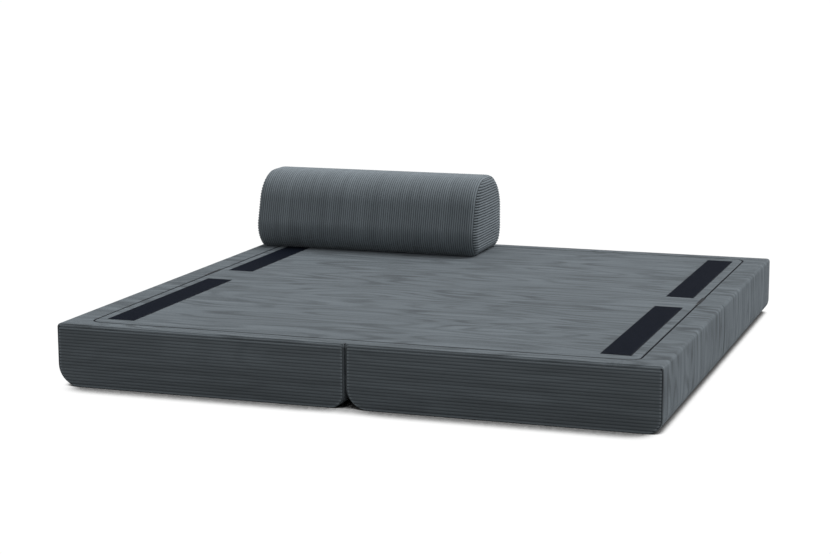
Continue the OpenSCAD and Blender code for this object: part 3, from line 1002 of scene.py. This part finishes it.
def make_grip_strips(tape, thread):
    """Four tapes sewn on top: hooks on the left block, loops on the right one, with stitched borders."""
    made = []
    for side in ("left", "right"):
        for end in ("front", "back"):
            node = f"{side}_{end}_strip"
            lo, hi = corners(node)
            x = np.linspace(lo[0], hi[0], 61)
            y = np.linspace(lo[1], hi[1], 431)
            gx, gy = np.meshgrid(x, y)
            d = np.minimum(np.minimum(gx - lo[0], hi[0] - gx), np.minimum(gy - lo[1], hi[1] - gy))
            if side == "left":
                hooks = np.abs(np.sin(gx / HOOK_PITCH[0] * math.pi))
                nap = hooks * np.abs(np.sin(gy / HOOK_PITCH[1] * math.pi))
            else:
                loops = np.sin(gx * 2310 + 3 * np.sin(gy * 730))
                nap = 0.5 + 0.25 * (loops + np.sin(gy * 1730 + 3 * np.sin(gx * 910)))
            field = smooth((d - 4 * MM) / (1.5 * MM))
            z = hi[2] - TAPE_NAP + TAPE_NAP * field * (0.6 + 0.4 * nap) - rolled(d, 0.5 * MM)
            top = faced(np.stack([gx, gy, z], axis=2), (0, 0, -FAR))
            edge = rim(top)
            foot = edge.copy()
            foot[:, 2] = lo[2] - 1 * MM
            strip = piece(f"{node}_tape", [top, np.stack([edge, foot])], tape, "grip_strip")
            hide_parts(node)
            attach(strip, f"{side}_block")
            inset = STRIP_SEWN_IN
            box = [(lo[0] + inset, lo[1] + inset), (hi[0] - inset, lo[1] + inset)]
            box += [(hi[0] - inset, hi[1] - inset), (lo[0] + inset, hi[1] - inset), box[0]]
            line = np.array([(*corner, hi[2] - 0.8 * MM) for corner in box])
            sewn = piece(f"{node}_stitching", stitches(line, (0, 0, 1)), thread, "grip_strip")
            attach(sewn, f"{side}_block")
            made += [strip, sewn]
    return made


def make_garages(material, thread):
    """The dark woven tabs over the zip at the middle of each side, stitched down at both ends."""
    for side in ("left", "right"):
        node = f"{side}_zip_garage"
        lo, hi = corners(node)
        gx, gy = np.meshgrid(np.linspace(lo[0], hi[0], 21), np.linspace(lo[1], hi[1], 101))
        d = np.maximum(inside_round_box(gx, gy, lo[:2], hi[:2], 2 * MM), 0)
        twill = 0.12 * MM * np.sin((gx + gy) / (1.6 * MM) * math.pi)
        z = hi[2] - 0.12 * MM - rolled(d, 0.5 * MM) + twill * smooth(d / (1 * MM))
        top = faced(np.stack([gx, gy, z], axis=2), (0, 0, -FAR))
        tab = piece(f"{node}_tab", [top, tucked(rim(top), (0, 0, -2.5 * MM))], material, "zip_tape")
        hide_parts(node)
        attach(tab, f"{side}_block")
        grids = []
        for at_y in (lo[1] + 3 * MM, hi[1] - 3 * MM):
            line = np.array([(at_x, at_y, hi[2] - 0.2 * MM) for at_x in (lo[0] + 2 * MM, hi[0] - 2 * MM)])
            grids += stitches(line, (0, 0, 1), pitch=3 * MM)
        sewn = piece(f"{node}_stitching", grids, thread, "zip_tape")
        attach(sewn, f"{side}_block")


# --- Bolster ---

sleeve_lo, sleeve_hi = corners("bolster_sleeve")
end_lo = corners("bolster_left_cap")[0]
end_hi = corners("bolster_right_cap")[1]
BOLSTER_D = sleeve_hi[1] - sleeve_lo[1]
BOLSTER_H = sleeve_hi[2] - sleeve_lo[2]
FRONT_SHOULDER = 140 * MM
FRONT_LEAN = 16  # degrees by which the flat front leans back
BACK_SHOULDER = 140 * MM
LOW_EDGE = 100 * MM
BASE_CUT = 18 * MM
END_ROUND = 38 * MM  # radius of the round ends
CAP_TURN = math.radians(38)  # where on that rounding the cap is sewn to the body
CAP_INSET = END_ROUND * (1 - math.cos(CAP_TURN))
BODY_RIB = 8.8 * MM  # finer than on the blocks
CAP_RIB_H = 4.2 * MM  # deeper than on the blocks
TUCK_SHRINK = 0.955  # how much smaller the inner edge of a seam allowance is than its seam
BOLSTER_CROWN = 3 * MM  # how far a cap's middle stands out from its edge
BOLSTER_LIP = 2.2 * MM
bolster_zip_lo, bolster_zip_hi = corners("bolster_zip_chain")


def arc(cy, cz, r, start, stop, count):
    turn = np.radians(np.linspace(start, stop, count))
    return np.stack([cy + r * np.cos(turn), cz + r * np.sin(turn)], axis=1)


def bolster_outline():
    """The bolster's section in depth and height, from the middle of its base, by the back, top and front."""
    d, h = BOLSTER_D, BOLSTER_H
    low_z = LOW_EDGE - BASE_CUT
    dip = math.degrees(math.asin(low_z / LOW_EDGE))
    lean = math.radians(FRONT_LEAN)
    rise = h - FRONT_SHOULDER - low_z
    front_y = LOW_EDGE + (FRONT_SHOULDER - LOW_EDGE + rise * math.sin(lean)) / math.cos(lean)
    back = arc(d - LOW_EDGE, low_z, LOW_EDGE, -dip, 0, 60)
    shoulder = arc(d - BACK_SHOULDER, h - BACK_SHOULDER, BACK_SHOULDER, 0, 90, 120)
    front = arc(front_y, h - FRONT_SHOULDER, FRONT_SHOULDER, 90, 180 - FRONT_LEAN, 130)
    low = arc(LOW_EDGE, low_z, LOW_EDGE, 180 - FRONT_LEAN, 180 + dip, 80)
    middle = np.array([[d / 2, 0.0]])
    outline = np.concatenate([middle, back, shoulder, front, low, middle])
    return outline + sleeve_lo[1:3]


def outward(outline):
    """Outward unit normals of an outline that runs anticlockwise."""
    way = np.gradient(outline, axis=0)
    way /= np.maximum(np.linalg.norm(way, axis=1, keepdims=True), 1e-12)
    return np.stack([way[:, 1], -way[:, 0]], axis=1)


def resampled(line, at):
    along = lengths_along(line)
    return place_on(line, along, at), along


def sleeve_grid():
    """The body's ribs run round it. Its back is slit for the zip, and its ends roll into the seams."""
    outline = bolster_outline()
    length = resampled(outline, [0])[1][-1]
    zip_z = (bolster_zip_lo[2] + bolster_zip_hi[2]) / 2
    rising = outline[:200]
    zip_at = np.interp(zip_z, rising[1:, 1], resampled(outline, [0])[1][1:200])
    slit = zip_at + np.array([-6, -4, -2.6, -1.7, -1.3, 0, 1.3, 1.7, 2.6, 4, 6]) * MM
    around = rows_between(0.0, length, length / 104, slit)
    section = resampled(outline, around)[0]
    mid = (end_lo[0] + end_hi[0]) / 2
    straight = (end_hi[0] - end_lo[0]) / 2 - END_ROUND
    half = straight + END_ROUND * CAP_TURN - SEAM / 2
    extra = edge_rows(half, -1, BOLSTER_LIP)
    rows = rows_between(-half, half, BODY_RIB / CAP_STEPS, [*extra, *(-x for x in extra)])
    shape = (len(rows), len(around))
    turn = np.maximum(np.abs(rows) - straight, 0) / END_ROUND
    x = mid + np.sign(rows) * (np.minimum(np.abs(rows), straight) + END_ROUND * np.sin(turn))
    inset = END_ROUND * (1 - np.cos(turn))
    rings = section - outward(section) * inset[:, None, None]
    points = np.concatenate([np.broadcast_to(x[:, None, None], (*shape, 1)), rings], axis=2)
    d = np.broadcast_to((half - np.abs(rows))[:, None], shape)
    off_zip = np.abs(around - zip_at)[None, :]
    on_zip = smooth(((bolster_zip_hi[0] - bolster_zip_lo[0]) / 2 + 2 * MM - np.abs(rows)) / (4 * MM))[:, None]
    slit_drop = rolled(np.maximum(off_zip - ZIP_GAP, 0), 2.6 * MM) * on_zip
    fade = smooth(d / (3 * MM)) * (1 - on_zip * (1 - smooth((off_zip - ZIP_GAP) / (4 * MM))))
    crown = -rolled(d, BOLSTER_LIP) - slit_drop
    centre = (mid, sleeve_lo[1] + BOLSTER_D / 2, sleeve_lo[2] + BOLSTER_H / 2)
    across = np.broadcast_to(rows[:, None] * RIB / BODY_RIB, shape)
    grid = fabric(points, around, across, centre, fade, crown=crown)
    grid[:, -1] = grid[:, 0]
    shrink = np.array([1, TUCK_SHRINK, TUCK_SHRINK])
    tucks = []
    for ring in (grid[0], grid[-1]):
        inner = ring.copy()
        inner[:, :3] = centre + (inner[:, :3] - centre) * shrink
        inner[:, PILE] = 0
        tucks.append(np.stack([ring, inner]))
    return [grid, *tucks]


def inside_outline(points, outline):
    """Distance from each point to the outline, for points inside it."""
    a, b = outline[:-1], outline[1:]
    way = b - a
    size = np.maximum((way ** 2).sum(axis=1), 1e-18)
    best = np.empty(points.shape[:2])
    for i, row in enumerate(points):
        t = np.clip(((row[:, None] - a) * way).sum(axis=2) / size, 0, 1)
        best[i] = np.linalg.norm(row[:, None] - a - t[..., None] * way, axis=2).min(axis=1)
    return best


def bolster_cap_grid():
    """The right end: a cap with deep level ribs, sewn on part of the way round the end's rounding."""
    outline = bolster_outline()
    seam_line = outline - outward(outline) * CAP_INSET
    z0, z1 = sleeve_lo[2], sleeve_hi[2]
    quarter = END_ROUND * (math.pi / 2 - CAP_TURN)
    total = 2 * quarter + (z1 - z0 - 2 * END_ROUND)
    s = rows_between(0.0, total, RIB / CAP_STEPS)
    from_end = np.minimum(s, total - s)
    in_round = END_ROUND * (1 - np.cos(CAP_TURN + np.minimum(from_end, quarter) / END_ROUND))
    in_flat = END_ROUND + from_end - quarter
    inset = np.where(from_end < quarter, in_round, in_flat)
    z = np.where(s < total / 2, z0 + inset, z1 - inset)
    edge = seam_line[1:-1]
    top = edge[:, 1].max() - 1e-9
    first_top = int(np.argmax(edge[:, 1] >= top))
    last_top = len(edge) - 1 - int(np.argmax(edge[::-1, 1] >= top))
    y_back = np.interp(z, edge[:first_top + 1, 1], edge[:first_top + 1, 0])
    y_front = np.interp(z, edge[last_top:, 1][::-1], edge[last_top:, 0][::-1])
    share = (1 - np.cos(np.linspace(0, math.pi, 45))) / 2
    y = y_front[:, None] + (y_back - y_front)[:, None] * share
    zz = np.broadcast_to(z[:, None], y.shape)
    d = np.maximum(inside_outline(np.stack([y, zz], axis=2), outline), CAP_INSET)
    rise = np.clip(END_ROUND - d, 0, END_ROUND)
    x = end_hi[0] - END_ROUND + np.sqrt(END_ROUND ** 2 - rise ** 2)
    pushed = BOLSTER_CROWN * smooth((d - END_ROUND) / (80 * MM)) * (1 + 0.3 * wander(y, zz, 6.0))
    x = x + pushed - BOLSTER_CROWN
    from_seam = END_ROUND * (np.arccos(rise / END_ROUND) - CAP_TURN)
    fade = smooth(from_seam / (3 * MM))
    centre = (end_hi[0] - 80 * MM, sleeve_lo[1] + BOLSTER_D / 2, sleeve_lo[2] + BOLSTER_H / 2)
    points = np.stack([x, y, zz], axis=2)
    wear_and_highlight = 0.5 * hump(from_seam - 4 * MM, 5 * MM)
    crown = -rolled(from_seam, BOLSTER_LIP)
    grid = fabric(points, y, s[:, None], centre, fade, wear_and_highlight, crown, CAP_RIB_H)
    loop = rim(grid)
    inner = loop.copy()
    middle = np.array(centre)
    inner[:, 1:3] = middle[1:] + (inner[:, 1:3] - middle[1:]) * TUCK_SHRINK
    inner[:, PILE] = 0
    return [grid, np.stack([loop, inner])]


def make_bolster(material, cap_material, chain_material):
    sleeve = piece("bolster_sleeve_cover", sleeve_grid(), material, "corduroy")
    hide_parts("bolster_sleeve")
    right = bolster_cap_grid()
    middle = (end_lo[0] + end_hi[0]) / 2
    left = []
    for grid in right:
        copy = grid[::-1].copy()
        copy[..., 0] = 2 * middle - copy[..., 0]
        copy[..., AWAY] += 1.7  # its nap is from elsewhere in the cloth
        left.append(copy)
    caps = []
    for side, grids in (("left", left), ("right", right)):
        cap = piece(f"bolster_{side}_cap_cover", grids, cap_material, "corduroy")
        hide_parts(f"bolster_{side}_cap")
        caps.append(cap)
    lo, hi = bolster_zip_lo, bolster_zip_hi
    zip_z = (lo[2] + hi[2]) / 2
    line = np.array([(lo[0], 0, zip_z), (hi[0], 0, zip_z)])
    way = np.array([(0, 0, 1.0), (0, 0, 1.0)])
    grid = chain_grid(line, way, (0, 1, 0), hi[2] - lo[2], lo[1] - 0.5 * MM, hi[1])
    chain = piece("bolster_zip", [faced(grid, (0, 0, zip_z))], chain_material, "zip_tape")
    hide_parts("bolster_zip_chain")
    pieces = [sleeve, *caps, chain]
    for made in pieces:
        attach(made, "bolster")
    return pieces


# --- Foam and liners, with the soft edges that the covers give them ---


def block_outline(low):
    """A right block's section in X and Z, anticlockwise from the middle of its underside."""
    fold_r = 6 * MM
    middle = np.array([[SIDE_X / 2, 0.0]])
    parts = [
        middle,
        arc(SIDE_X - low[1], low[1], low[1], -90, 0, 16),
        arc(SIDE_X - TOP_R, TOP_Z - TOP_R, TOP_R, 0, 90, 8),
        arc(FOLD_X + fold_r, TOP_Z - fold_r, fold_r, 90, 180, 6),
        arc(FOLD_X + low[0], low[0], low[0], 180, 270, 16),
        middle,
    ]
    return np.concatenate(parts)


def core_grid(outline, start, stop, inset, edge_r):
    """A closed form swept along an axis: the outline shrunk by inset, with its end edges rounded to edge_r.
    Its points are place along the axis first, and then the outline's two directions."""
    centre = (outline.min(axis=0) + outline.max(axis=0)) / 2
    half = (outline.max(axis=0) - outline.min(axis=0)) / 2
    turn = np.linspace(0, math.pi / 2, 7)
    end_at = edge_r * (1 - np.sin(turn[::-1]))
    end_in = edge_r * (1 - np.cos(turn[::-1]))
    near = np.concatenate([[0, 0, 0], end_at])
    shrink = np.concatenate([half.max() * np.array([1.0, 0.7, 0.35]), end_in])
    length = stop - start - 2 * inset
    at = np.concatenate([near, np.linspace(edge_r, length - edge_r, 18)[1:-1], (length - near)[::-1]])
    smaller = np.concatenate([shrink, np.zeros(16), shrink[::-1]])
    scale = np.clip(1 - (inset + smaller[:, None]) / half, 0, 1)
    scale[[0, -1]] = 0
    section = centre + (outline - centre) * scale[:, None, :]
    place = np.broadcast_to((start + inset + at)[:, None, None], (*section.shape[:2], 1))
    return np.concatenate([place, section], axis=2)


def make_cores(foam_finish, liner_finish):
    """A foam core and a liner in each block and in the bolster."""
    for word, inset, finish, slot_name in (
        ("foam_core", 12 * MM, foam_finish, "foam"),
        ("core_liner", 10 * MM, liner_finish, "liner_knit"),
    ):
        blocks = {}
        for side in ("left", "right"):
            form = core_grid(block_outline(LOW[side]), -END_Y, END_Y, inset, 14 * MM)[..., [1, 0, 2]]
            blocks[side] = form * np.array([-1 if side == "left" else 1, 1, 1])
        along_x = core_grid(bolster_outline(), end_lo[0], end_hi[0], inset, END_ROUND)
        for side, grid in (*blocks.items(), ("bolster", along_x)):
            grid = faced(grid, grid.reshape(-1, 3).mean(axis=0))
            made = piece(f"{side}_{word}_form", [grid], finish, slot_name)
            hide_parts(f"{side}_{word}")
            body = side if side == "bolster" else f"{side}_block"
            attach(made, body)


# --- The whole ---


def dress_cad_nodes(finishes):
    """Gives each CAD node whose name holds one of the listed words that word's material, and bevels the
    sliders' edges.
    """
    for name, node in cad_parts.items():
        for word, material in finishes:
            if word in name:
                node.data.materials.clear()
                node.data.materials.append(material)
                break
        if "slider" in name:
            bevel = node.modifiers.new("worn edges", "BEVEL")
            bevel.width = 0.15 * MM
            bevel.segments = 2


make_camera()
make_stage()

cord_top = corduroy("corduroy_top", 0.083, 0.132, 0.74)
cord_band = corduroy("corduroy_band", 0.076, 0.134, 0.84)
cord_end = corduroy("corduroy_end", 0.090, 0.126, 0.15)
# The bolster's corduroy is the blocks' cloth made lighter: painted light, standing in for the light its leaning
# front catches. The caps' copy also has deeper painted shade in its grooves.
cord_roll_painted_light = corduroy("corduroy_bolster_painted_light", 0.160, 0.190, 0.08, 0.80, 0.1, 0.85)
cord_roll_cap_painted_light = corduroy("corduroy_bolster_cap_painted_light", 0.151, 0.177, 0.05, 0.88, 0.20, 1.10)
tape = grip_tape()
zip_nylon = moulded("zip_nylon", grey(0.004, NAVY), grey(0.008, NAVY), 0.8, shine=0.08)
thread = woven("thread", grey(0.02, SLATE), grey(0.05, SLATE), 900.0, 0.7)
rubber_cloth = woven("rubber_cloth", grey(0.008), grey(0.022), 260.0, 0.75)
liner = woven("liner_knit", grey(0.55, (1, 0.99, 0.96)), grey(0.8, (1, 0.99, 0.96)), 420.0, 0.85)
fold_tape = woven("fold_tape", grey(0.01), grey(0.03), 380.0, 0.7)
dark_twill = woven("dark_twill", grey(0.006, NAVY), grey(0.014, NAVY), 620.0, 0.85, sheen=0.02)
dress_cad_nodes([("slider", enamel()), ("hinge_tape", fold_tape)])
make_cores(foam(), liner)

for crossing in (make_top_panel(cord_top), make_cover_band(cord_band), make_perimeter_zip(zip_nylon)):
    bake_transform(crossing)
for soft in (*make_end_caps(cord_end), *make_fold_walls(cord_end), make_seat_panel(cord_end)):
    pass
base = make_base_cloth(rubber_cloth)
make_grip_strips(tape, thread)
make_garages(dark_twill, thread)
for soft in make_bolster(cord_roll_painted_light, cord_roll_cap_painted_light, zip_nylon)[:3]:
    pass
